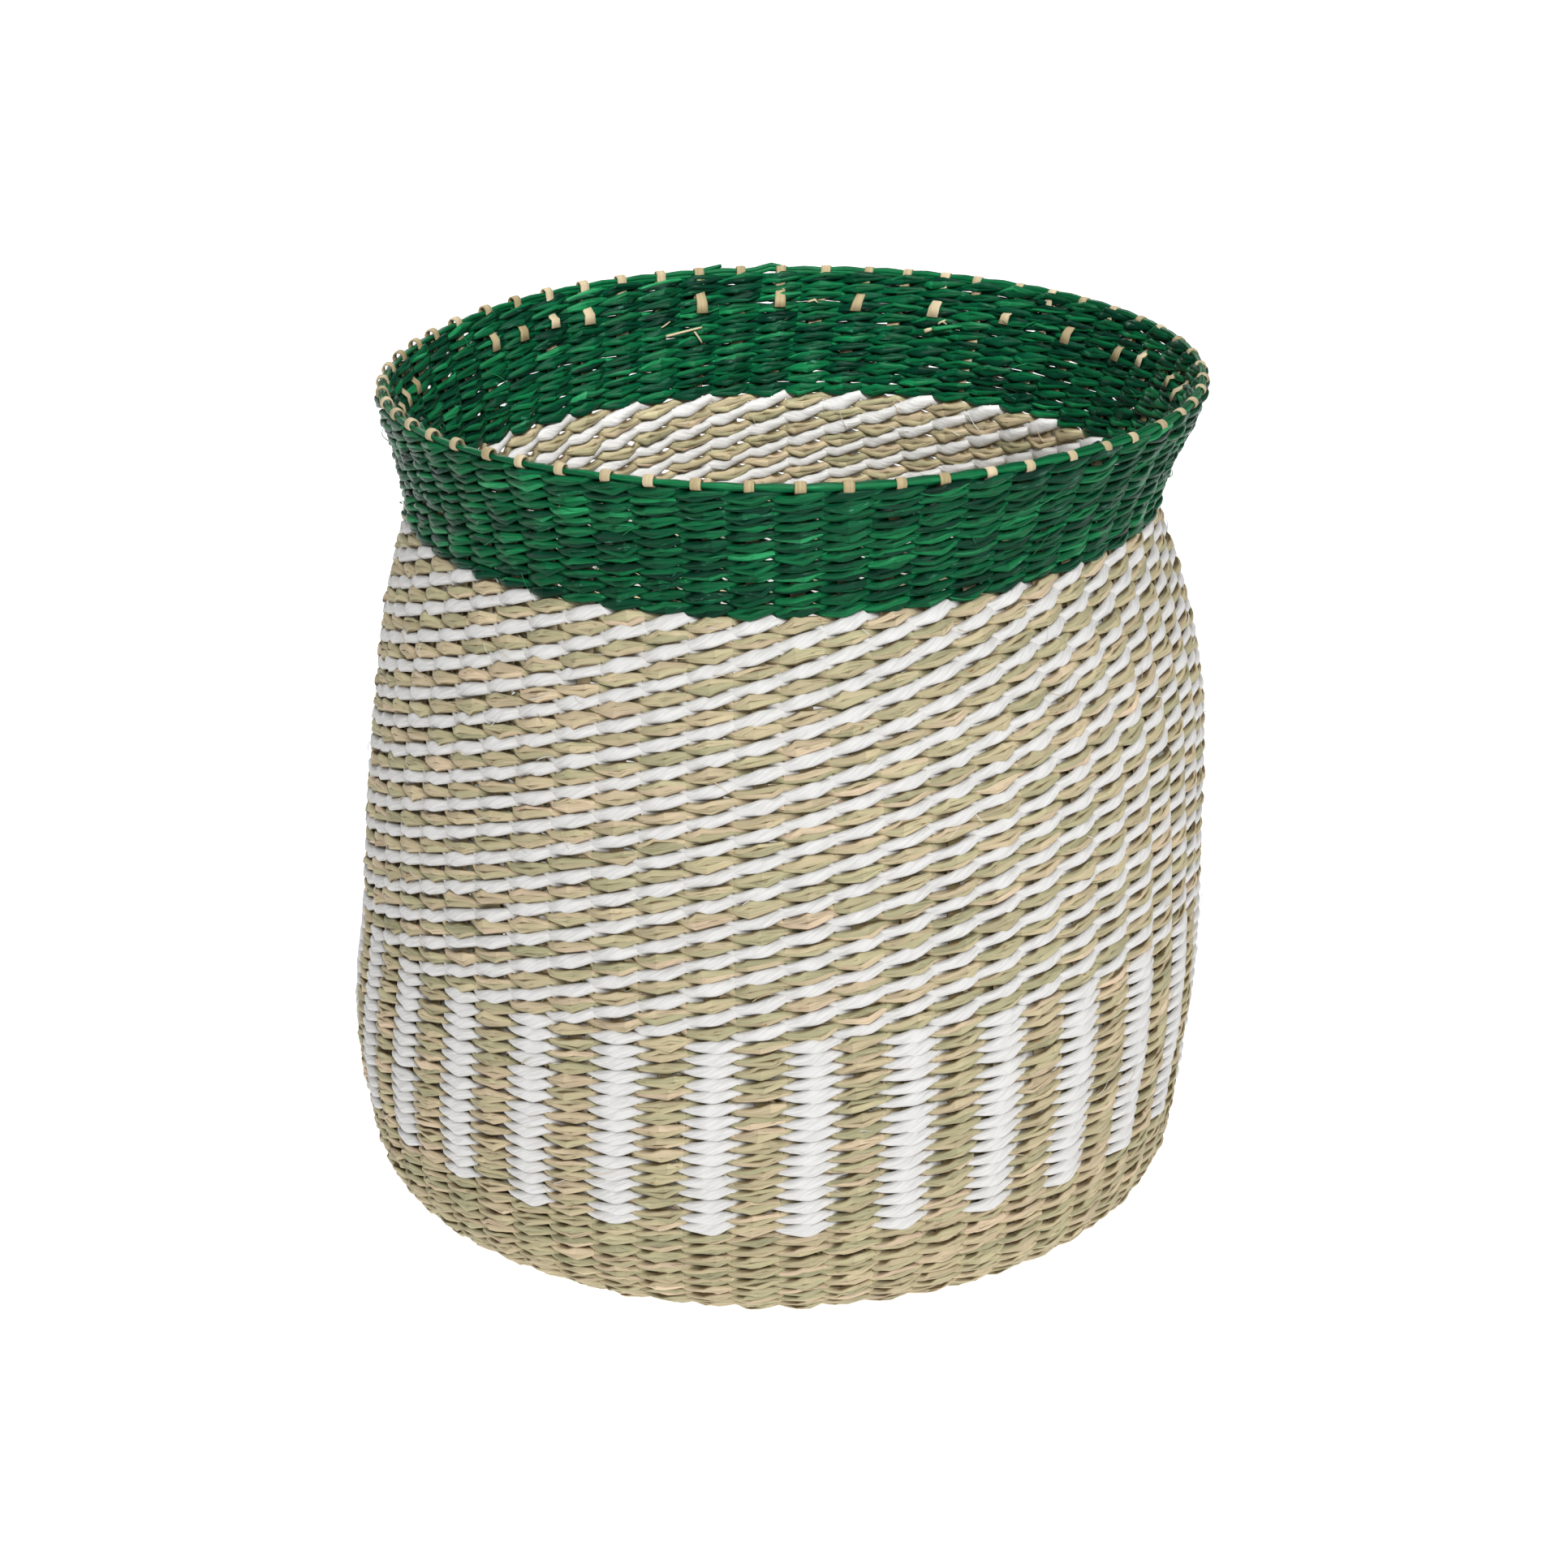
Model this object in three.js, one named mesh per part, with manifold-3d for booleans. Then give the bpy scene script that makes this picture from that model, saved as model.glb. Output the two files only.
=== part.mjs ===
// Round twined seagrass market basket, open at the top: a flat woven base, a rounded heel, a belly and a
// collar that flares above the neck. The wall is woven round upright stakes. Long stakes cross under the
// middle of the base and give two ends each, side stakes start further out. Every end runs up inside the
// wall, folds over a bundle of leaves at the rim and is tucked down the inside of the collar.
// Millimetres, +Z up, origin at the centre of the underside, the front facing -Y.
import * as THREE from 'three';
import { mergeVertices } from 'three/addons/utils/BufferGeometryUtils.js';
import Module from 'manifold-3d';

const wasm = await Module();
wasm.setup();

// Outer face of the wall as (radius, height), from the middle of the base to the top of the weave
const OUTER = [
  [0, 0], [106, 0], [141, 10.5], [165.5, 28], [170.8, 58], [175, 98], [173.3, 143], [168.2, 232],
  [152.5, 307], [165.5, 354],
];
// First and last point on OUTER of each woven zone
const ZONES = { base: [0, 1], heel: [1, 4], stripe: [4, 6], diagonal: [6, 8], collar: [8, 9] };

const STAKE_ENDS = 56;
const STEP = (2 * Math.PI) / STAKE_ENDS;
const FACET = Math.cos(STEP / 2); // how much nearer the axis a wall facet's middle is than its corner
const WALL = 8; // wall thickness: one strand outside the stakes and one inside
const SKIN = 2.4; // thickness of each strand layer
const GAP = 0.3; // clearance between neighbouring pieces
const STAKE_WIDTH = 4;
const STAKE_THICKNESS = 1;
const LAYER = 0.65; // half the spacing of the two layers of long stakes
const CROSS_PITCH = 5; // spacing of the parallel long stakes where they cross
const CROSS_HALF = 21; // half the length of the square where they cross
const SIDE_START = 62; // radius where the side stakes begin
const RIBS = 8; // places round the wall where the two strand layers are modelled as joined
const RIB_WIDTH = 2.4;
const RIB_START = 70;
const RIB_REACH = 200; // long enough to pass right through the wall
const BUNDLE_RADIUS = 2.2;
const BUNDLE_SIDES = 6;
const BUNDLE_RISE = 4; // rim bundle's middle above the top of the weave
const FOLD_RISE = 0.6; // height above the weave where a stake end starts to turn out under the bundle
const TUCK_LENGTH = 14; // length of each folded stake end down the inside of the collar

const MATERIALS = {
  seagrass: { color: 0xb9ac7e, roughness: 0.75, metalness: 0 },
  white_cord: { color: 0xe4e3e0, roughness: 0.9, metalness: 0 },
  green_seagrass: { color: 0x12613a, roughness: 0.5, metalness: 0 },
};

// --- outlines in the (radius, height) plane ---

function direction(a, b) {
  const length = Math.hypot(b[0] - a[0], b[1] - a[1]);
  return [(b[0] - a[0]) / length, (b[1] - a[1]) / length];
}

// Vector from point i of an open line to the line laid `distance` to its left
function mitre(line, i, distance) {
  const before = direction(line[Math.max(i - 1, 0)], line[Math.max(i, 1)]);
  const after = direction(line[Math.min(i, line.length - 2)], line[Math.min(i + 1, line.length - 1)]);
  const left = [-before[1] - after[1], before[0] + after[0]];
  const scale = distance / (left[1] * before[0] - left[0] * before[1]);
  return [left[0] * scale, left[1] * scale];
}

// Point i of the wall's outer line moved `depth` into the wall
function wallPoint(i, depth) {
  const [r, z] = mitre(OUTER, i, depth);
  return [OUTER[i][0] + r, OUTER[i][1] + z];
}

function moved(point, along, distance) {
  return [point[0] + along[0] * distance, point[1] + along[1] * distance];
}

// Closed outline between two depths, from point `first` to point `last`, its two ends moved along the wall
function layerOutline(first, last, outerDepth, innerDepth, startShift, endShift) {
  const start = direction(OUTER[first], OUTER[first + 1]);
  const end = direction(OUTER[last - 1], OUTER[last]);
  const row = (depth) => {
    const points = [];
    for (let i = first; i <= last; i += 1) {
      points.push(wallPoint(i, depth));
    }
    points[0] = moved(points[0], start, startShift);
    points[points.length - 1] = moved(points[points.length - 1], end, endShift);
    return points;
  };
  const outline = [...row(outerDepth), ...row(innerDepth).reverse()];
  return [...outline, outline[0]];
}

// --- solids ---

function ring(outline) {
  const points = outline.map(([r, z]) => new THREE.Vector2(Math.max(r, 0), z));
  return new THREE.LatheGeometry(points, STAKE_ENDS).rotateX(Math.PI / 2);
}

// Closed solid from a geometry, with shared corners merged and flat triangles dropped
function solid(geometry) {
  geometry.deleteAttribute('normal');
  geometry.deleteAttribute('uv');
  const merged = mergeVertices(geometry, 1e-4);
  const index = merged.index.array;
  const kept = [];
  for (let i = 0; i < index.length; i += 3) {
    const [a, b, c] = [index[i], index[i + 1], index[i + 2]];
    if (a !== b && b !== c && c !== a) {
      kept.push(a, b, c);
    }
  }
  const vertProperties = new Float32Array(merged.attributes.position.array);
  return new wasm.Manifold(new wasm.Mesh({ numProp: 3, vertProperties, triVerts: new Uint32Array(kept) }));
}

function toGeometry(manifold) {
  const mesh = manifold.getMesh();
  const geometry = new THREE.BufferGeometry();
  geometry.setAttribute('position', new THREE.BufferAttribute(new Float32Array(mesh.vertProperties), 3));
  geometry.setIndex(new THREE.BufferAttribute(new Uint32Array(mesh.triVerts), 1));
  geometry.computeVertexNormals();
  return geometry;
}

// Space inside the wall where the stakes run, interrupted by the ribs
function stakeSpace() {
  const last = OUTER.length - 1;
  let space = solid(ring(layerOutline(0, last, SKIN, WALL - SKIN, 0, WALL)));
  for (let k = 0; k < RIBS; k += 1) {
    const rib = new THREE.BoxGeometry(RIB_REACH, RIB_WIDTH, 2 * RIB_REACH);
    rib.translate(RIB_START + RIB_REACH / 2, 0, RIB_REACH);
    rib.rotateZ((2 * Math.PI * k) / RIBS);
    space = space.subtract(solid(rib));
  }
  return space;
}

const SPACE = stakeSpace();

function wovenZone([first, last]) {
  const startShift = first === 0 ? 0 : GAP / 2;
  const endShift = last === OUTER.length - 1 ? 0 : -GAP / 2;
  const outline = layerOutline(first, last, 0, WALL, startShift, endShift);
  return toGeometry(solid(ring(outline)).subtract(SPACE));
}

// --- rim ---

const TOP = OUTER.length - 1;
const UP = direction(OUTER[TOP - 1], OUTER[TOP]);
const OUT = [UP[1], -UP[0]];

// Point beside the top of the wall: `out` from the wall's middle, `up` beyond the top of the weave
function rimPoint(out, up) {
  return moved(moved(wallPoint(TOP, WALL / 2), OUT, out), UP, up);
}

function rimBundle() {
  const outline = [];
  for (let i = 0; i <= BUNDLE_SIDES; i += 1) {
    const turn = (2 * Math.PI * i) / BUNDLE_SIDES;
    outline.push(rimPoint(BUNDLE_RADIUS * Math.cos(turn), BUNDLE_RISE + BUNDLE_RADIUS * Math.sin(turn)));
  }
  return ring(outline);
}

// --- stakes ---

// Middle line of a stake end in its own upright plane, from the base to its tucked end
function stakeLine(start, layer) {
  const line = [[start, WALL / 2 + layer]];
  for (let i = 1; i < TOP; i += 1) {
    line.push(wallPoint(i, WALL / 2 + layer));
  }
  const clear = GAP + STAKE_THICKNESS / 2; // from a surface to the middle of the strip laid beside it
  const outside = BUNDLE_RADIUS + clear;
  const over = BUNDLE_RISE + outside;
  const inside = -WALL / 2 - clear;
  line.push(rimPoint(-layer, FOLD_RISE));
  line.push(rimPoint(outside, FOLD_RISE + STAKE_THICKNESS));
  line.push(rimPoint(outside, over));
  line.push(rimPoint(inside, over));
  line.push(rimPoint(inside, -TUCK_LENGTH));
  return line;
}

// Sections of a strip that follows stakeLine at the angle `turn` from the front, seen from above
function upright(turn, start, layer) {
  const line = stakeLine(start, layer);
  const outward = new THREE.Vector3(Math.sin(turn), -Math.cos(turn), 0);
  const side = new THREE.Vector3(-Math.cos(turn), -Math.sin(turn), 0).multiplyScalar(STAKE_WIDTH / 2);
  const place = ([r, z]) => outward.clone().multiplyScalar(r * FACET).setZ(z);
  return line.map((point, i) => ({
    centre: place(point),
    side,
    face: place(mitre(line, i, STAKE_THICKNESS / 2)),
  }));
}

// Sections of the flat stretch where a long stake crosses the middle of the base. `number` counts from the
// middle of its set of parallel stakes, and the set runs towards the angle `turn`.
function crossing(number, layer, turn) {
  const spread = number * 2 * STEP;
  const points = [
    [SIDE_START * Math.sin(spread), SIDE_START * Math.cos(spread)],
    [number * CROSS_PITCH, CROSS_HALF],
    [number * CROSS_PITCH, -CROSS_HALF],
    [SIDE_START * Math.sin(spread), -SIDE_START * Math.cos(spread)],
  ];
  const axis = new THREE.Vector3(0, 0, 1);
  return [1, 2].map((i) => {
    const [x, y] = mitre(points, i, -STAKE_WIDTH / 2);
    return {
      centre: new THREE.Vector3(...points[i], WALL / 2 + layer).applyAxisAngle(axis, turn),
      side: new THREE.Vector3(x, y, 0).applyAxisAngle(axis, turn),
      face: new THREE.Vector3(0, 0, STAKE_THICKNESS / 2),
    };
  });
}

// Box bent so that each of its rings of corners lies on one section
function strip(sections) {
  const box = new THREE.BoxGeometry(2, sections.length - 1, 2, 1, sections.length - 1, 1);
  const corner = new THREE.Vector3();
  const position = box.attributes.position;
  for (let i = 0; i < position.count; i += 1) {
    corner.fromBufferAttribute(position, i);
    const section = sections[Math.round(corner.y + (sections.length - 1) / 2)];
    const place = section.centre.clone();
    place.addScaledVector(section.side, corner.x);
    place.addScaledVector(section.face, corner.z);
    position.setXYZ(i, place.x, place.y, place.z);
  }
  return toGeometry(solid(box));
}

function longStake(number, layer, turn) {
  const spread = number * 2 * STEP;
  const down = upright(turn + Math.PI - spread, SIDE_START, layer).reverse();
  for (const section of down) {
    section.side = section.side.clone().negate();
  }
  return strip([...down, ...crossing(number, layer, turn), ...upright(turn + spread, SIDE_START, layer)]);
}

// --- assembly ---

const group = new THREE.Group();

function add(name, geometry, material, turn = 0) {
  const mesh = new THREE.Mesh(geometry, new THREE.MeshStandardMaterial(MATERIALS[material]));
  mesh.name = name;
  mesh.rotation.z = turn;
  group.add(mesh);
}

add('base_weave', wovenZone(ZONES.base), 'seagrass');
add('heel_weave', wovenZone(ZONES.heel), 'seagrass');
add('stripe_weave', wovenZone(ZONES.stripe), 'white_cord');
add('diagonal_weave', wovenZone(ZONES.diagonal), 'white_cord');
add('collar_weave', wovenZone(ZONES.collar), 'green_seagrass');
add('rim_bundle', rimBundle(), 'green_seagrass');

const LONG_PER_SET = STAKE_ENDS / 8;
const label = (count) => String(count).padStart(2, '0');
for (let i = 0; i < LONG_PER_SET; i += 1) {
  const number = i - (LONG_PER_SET - 1) / 2;
  const lower = longStake(number, -LAYER, STEP / 2);
  const upper = longStake(number, LAYER, STEP / 2 + Math.PI / 2);
  add(`stake_long_${label(i + 1)}`, lower, 'seagrass');
  add(`stake_long_${label(i + 1 + LONG_PER_SET)}`, upper, 'seagrass');
}
for (let i = 0; i < STAKE_ENDS / 2; i += 1) {
  const geometry = strip(upright(0, SIDE_START, 0));
  add(`stake_side_${label(i + 1)}`, geometry, 'seagrass', (2 * i + 1.5) * STEP);
}

export default group;
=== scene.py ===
"""Looks of a round twined seagrass basket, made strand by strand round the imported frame.

Lengths are in millimetres until a mesh is made. A place on the wall is given by its angle from the front
(-Y) towards +X, its distance up the outer face from the middle of the base, and its depth into the wall.
"""

import bpy
import numpy as np
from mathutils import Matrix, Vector


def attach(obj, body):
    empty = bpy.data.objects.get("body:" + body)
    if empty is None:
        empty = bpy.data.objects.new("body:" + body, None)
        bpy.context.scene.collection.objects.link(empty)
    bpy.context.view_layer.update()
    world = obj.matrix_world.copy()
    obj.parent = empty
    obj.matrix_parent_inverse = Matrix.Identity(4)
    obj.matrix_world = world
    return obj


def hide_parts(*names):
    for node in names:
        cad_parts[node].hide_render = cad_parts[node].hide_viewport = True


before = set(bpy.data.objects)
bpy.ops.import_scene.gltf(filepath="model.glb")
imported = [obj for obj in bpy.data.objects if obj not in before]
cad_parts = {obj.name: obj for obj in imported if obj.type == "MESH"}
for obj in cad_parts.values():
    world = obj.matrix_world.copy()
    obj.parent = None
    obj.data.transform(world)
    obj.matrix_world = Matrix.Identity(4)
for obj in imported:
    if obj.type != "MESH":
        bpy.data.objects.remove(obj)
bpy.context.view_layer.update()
random = np.random.default_rng(56)

# --- sizes ---

# Outer face of the wall as (radius, height), from the middle of the base to the top of the weave
OUTER = [
    (0, 0), (60, 0), (102, 0), (122, 5.4), (140, 12), (152.5, 17), (161.2, 22.6), (167.2, 31.6),
    (169.8, 43), (171.4, 56), (173.8, 76), (175.2, 98), (174.6, 125), (173.8, 160), (172.4, 195),
    (169.6, 228), (165.4, 255), (160, 278), (154.8, 295), (152.6, 307), (154, 319), (157.6, 332),
    (165.5, 354),
]
STAKE_ENDS = 56
STEP = 2 * np.pi / STAKE_ENDS
WALL = 8.0
MIDDLE = WALL / 2
SIDE_START = 62.0  # radius where the side stakes begin
CROSS_EDGE = 21.5  # radius where the weave begins, round the crossing of the long stakes
CROSS_PITCH = 5.0  # spacing of the parallel long stakes where they cross
CROSS_HALF = 21.0  # half the length of the square where they cross
CROSS_LIFT = 0.75  # how far they rise and dip there, over and under each other
HEEL_TOP, STRIPE_TOP, DIAGONAL_TOP, WEAVE_TOP = 58.2, 142.9, 305.2, 357.2  # heights where zones end
STRIPE_ROWS, DIAGONAL_ROWS, COLLAR_ROWS = 16, 29, 12
BASE_PITCH = 5.15  # spacing of the courses of the base and heel
BUNDLE_RISE = 4.1  # middle of the rim bundle above the top of the wall's outer line
BUNDLE_RADIUS = 1.7
GRAIN_RADIUS = 160  # turns an angle into a length along a strand, for the grain

# --- shape of the wall ---


def smooth_line(points, spacing):
    """Points every `spacing` along a smooth curve through the given ones, run on straight at its end."""
    points = np.array(points, float)
    chord = np.r_[0, np.cumsum(np.hypot(*np.diff(points, axis=0).T))]
    slope = np.gradient(points, chord, axis=0)
    fine = np.linspace(0, chord[-1], 4000)
    i = np.clip(np.searchsorted(chord, fine, side="right") - 1, 0, len(chord) - 2)
    width = (chord[i + 1] - chord[i])[:, None]
    t = (fine - chord[i])[:, None] / width
    curve = (
        (1 + 2 * t) * (1 - t) ** 2 * points[i]
        + t * (1 - t) ** 2 * width * slope[i]
        + t**2 * (3 - 2 * t) * points[i + 1]
        + t**2 * (t - 1) * width * slope[i + 1]
    )
    end = curve[-1] - curve[-2]
    curve = np.vstack([curve, curve[-1] + 30 * end / np.hypot(*end)])
    length = np.r_[0, np.cumsum(np.hypot(*np.diff(curve, axis=0).T))]
    even = np.arange(0, length[-1], spacing)
    return even, np.interp(even, length, curve[:, 0]), np.interp(even, length, curve[:, 1])


ALONG, LINE_R, LINE_Z = smooth_line(OUTER, 0.5)
NORMAL_R = np.gradient(LINE_Z, ALONG)
NORMAL_Z = -np.gradient(LINE_R, ALONG)


def along_at(height):
    """Distance up the wall of a height above the base's edge."""
    risen = LINE_Z > 0.5
    return float(np.interp(height, LINE_Z[risen], ALONG[risen]))


def wall(angle, along, depth):
    """Points of the regular wall, as an array with x, y, z last."""
    r = np.interp(along, ALONG, LINE_R) - depth * np.interp(along, ALONG, NORMAL_R)
    z = np.interp(along, ALONG, LINE_Z) - depth * np.interp(along, ALONG, NORMAL_Z)
    r, z, angle = np.broadcast_arrays(r, z, angle)
    return np.stack([r * np.sin(angle), -r * np.cos(angle), z], axis=-1)


LEAN_HEIGHTS = [0, 82, 132, 230, 309, 360]
LEAN_X = [-4.6, -3.9, 0.8, 3.4, -0.4, 3.6]  # how far the handmade wall leans sideways at those heights
DENTS = [(2, 0.7, 0.004), (3, 0.6, 0.011), (5, 0.35, 0.02), (7, 0.25, 0.03)]  # (lobes, size, turn per mm)
DIP, DIP_ANGLE, DIP_WIDTH = 4.5, -1.7, 0.7  # the rim hangs lower on the left
DIP_START, DIP_RISE = 300, 55  # from this height on, and fully over this much more
TURN_HEIGHTS = [0, 100, 200, 300, 360]
TURN = [0.02, 0.021, -0.012, -0.008, -0.038]  # angle by which the stakes wander sideways on their way up
RISE_HEIGHTS = [0, 50, 143, 230, 305, 352]
RISE_RIGHT = [0, 0.5, 5.5, 5, 3, 1.2]  # how much higher the courses lie on the right than in the middle
RISE_BACK = [0, 0, 0, 1.5, 3, 0]  # and at the back than at the front


def handmade(points):
    """The regular wall's points, moved as the hand-shaped basket's are."""
    x, y, z = np.moveaxis(points, -1, 0)
    turn = np.interp(z, TURN_HEIGHTS, TURN)
    x, y = x * np.cos(turn) - y * np.sin(turn), x * np.sin(turn) + y * np.cos(turn)
    angle = np.arctan2(x, -y)
    risen = np.clip(z / 60, 0, 1)
    swell = sum(size * np.cos(lobes * angle + lobes + turn * z) for lobes, size, turn in DENTS) * risen
    r = np.hypot(x, y)
    grow = 1 + swell / np.maximum(r, 60)
    lean = np.interp(z, LEAN_HEIGHTS, LEAN_X)
    hang = np.exp(-((angle - DIP_ANGLE) / DIP_WIDTH) ** 2) * np.clip((z - DIP_START) / DIP_RISE, 0, 1)
    z = z - DIP * hang
    return np.stack([x * grow + lean, y * grow, np.maximum(z, 0)], axis=-1)


def woven(angle, along, depth):
    """Points of the handmade wall, with the courses' unevenness."""
    height = np.interp(along, ALONG, LINE_Z)
    tilt = np.interp(height, RISE_HEIGHTS, RISE_RIGHT) * np.sin(angle)
    tilt = tilt + np.interp(height, RISE_HEIGHTS, RISE_BACK) * (1 - np.cos(angle)) / 2
    return handmade(wall(angle, along + tilt, depth))


# --- meshes ---


class Batch:
    """Tubes gathered for one mesh, with what the materials need to know at each point."""

    def __init__(self):
        self.points, self.faces, self.grain, self.lens, self.tone, self.fold = [], [], [], [], [], []
        self.count = 0

    def tube(self, points, grain, lens, tone, fold=None, closed=True):
        """Adds a tube from rings of points, an array of (ring, point round it, xyz)."""
        if closed:  # the first ring again, so that the grain runs on over the join
            points, lens, tone = (np.concatenate([a, a[:1]]) for a in (points, lens, tone))
            grain = np.concatenate([grain, grain[:1]])
            grain[-1, :, 0] += grain[-2, :, 0].mean() - 2 * grain[0, :, 0].mean() + grain[1, :, 0].mean()
            fold = None if fold is None else np.append(fold, fold[0])
        rings, sides, _ = points.shape
        index = self.count + np.arange(rings * sides).reshape(rings, sides)
        here, ahead = index[:-1], index[1:]
        quads = np.stack([here, np.roll(here, -1, 1), np.roll(ahead, -1, 1), ahead], axis=-1)
        self.faces.append(quads.reshape(-1, 4))
        if not closed:
            half = sides // 2
            i = np.arange(half - 1)
            for ring, order in ((index[0], 1), (index[-1], -1)):
                cap = np.stack([ring[i], ring[i + 1], ring[-i - 2], ring[-i - 1]], axis=-1)
                self.faces.append(cap[:, ::-order])
        self.points.append(points.reshape(-1, 3))
        self.grain.append(grain.reshape(-1, 3))
        self.lens.append(lens.reshape(-1, 3))
        self.tone.append(np.repeat(tone, sides, axis=0))
        fold = np.zeros(rings, bool) if fold is None else fold
        self.fold.append(np.repeat(fold, sides))
        self.count += rings * sides

    def build(self, name, material, slot, *nodes):
        """Makes the object, which stands for the named CAD nodes."""
        points = np.vstack(self.points) / 1000
        faces = np.vstack(self.faces)
        mesh = bpy.data.meshes.new(name)
        mesh.vertices.add(len(points))
        mesh.vertices.foreach_set("co", points.ravel())
        mesh.loops.add(faces.size)
        mesh.loops.foreach_set("vertex_index", faces.ravel())
        mesh.polygons.add(len(faces))
        mesh.polygons.foreach_set("loop_start", np.arange(0, faces.size, 4))
        mesh.update(calc_edges=True)
        mesh.shade_smooth()
        for key, kind, field, values in (
            ("grain", "FLOAT_VECTOR", "vector", self.grain),
            ("lens", "FLOAT_VECTOR", "vector", self.lens),
            ("tone", "FLOAT_COLOR", "color", self.tone),
        ):
            mesh.attributes.new(key, kind, "POINT").data.foreach_set(field, np.vstack(values).ravel())
        fold = np.concatenate(self.fold)
        if fold.any():
            ends = np.empty(2 * len(mesh.edges), int)
            mesh.edges.foreach_get("vertices", ends)
            sharp = fold[ends.reshape(-1, 2)].all(axis=1)
            mesh.attributes.new("sharp_edge", "BOOLEAN", "EDGE").data.foreach_set("value", sharp)
        piece = bpy.data.objects.new(name, mesh)
        bpy.context.scene.collection.objects.link(piece)
        piece.data.materials.append(material)
        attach(piece, "root")
        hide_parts(*nodes)


def rounded(sides, square):
    """Section of a flattened strand as (across, out), each from -1 to 1."""
    turn = 2 * np.pi * np.arange(sides) / sides
    across, out = np.cos(turn), np.sin(turn)
    return np.sign(across) * abs(across) ** square, np.sign(out) * abs(out) ** square


# --- strands ---

# Shape of a strand between two stakes. `stations` are the places of its rings, from one crossing (-1) over
# the stake (0) to the next (1). `peak` and `waist` are its heights over the stake and at the crossing, and
# `rise` its climb, as shares of the course's height. `reach` is how far it stands off the wall's middle,
# `thin` and `thick` are its thickness over the stake and at the crossing, and `blades` how many leaves lie
# side by side in it.
LEAF = {
    "sides": 8, "square": 0.9, "stations": [-1, -0.66, -0.3, 0, 0.3, 0.66, 0.95], "blades": 2,
    "kink": 0.24, "reach": 2.8, "proud": 0.7, "peak": 1.12, "waist": 0.5, "rise": 0.25,
    "thin": 1.9, "thick": 3.2, "uneven": 0.1, "ahead": 0.4, "twist": 0.3, "roll": 0.16,
}
CORD = {
    "sides": 10, "square": 0.95, "stations": [-1, -0.75, -0.5, -0.25, 0, 0.25, 0.5, 0.75], "blades": 1,
    "kink": 0.08, "reach": 2.6, "proud": 0.7, "peak": 1.24, "waist": 0.46, "rise": 0.2,
    "thin": 3.0, "thick": 3.2, "uneven": 0.05, "ahead": 0.0, "twist": 0.4, "roll": 0.1,
}
SHARE_SPREAD = 0.28  # how unequal the blades of one strand are
BLADE_OVERLAP = 1.25  # width of a blade over its share, where the blades spread out over a stake
CROSSING_SHARE = 0.8  # width of a blade over the strand's, where they lie on each other at a crossing
CREASED = 0.6  # share of the leaves with a sharp fold over the stake


def slow_noise(count, stretch):
    """Random values round a ring, from 0 to 1, each held for about `stretch` places."""
    values = random.random(count)
    held = random.random(count) > 1 / stretch
    for i in range(1, count):
        if held[i]:
            values[i] = values[i - 1]
    return values


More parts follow.
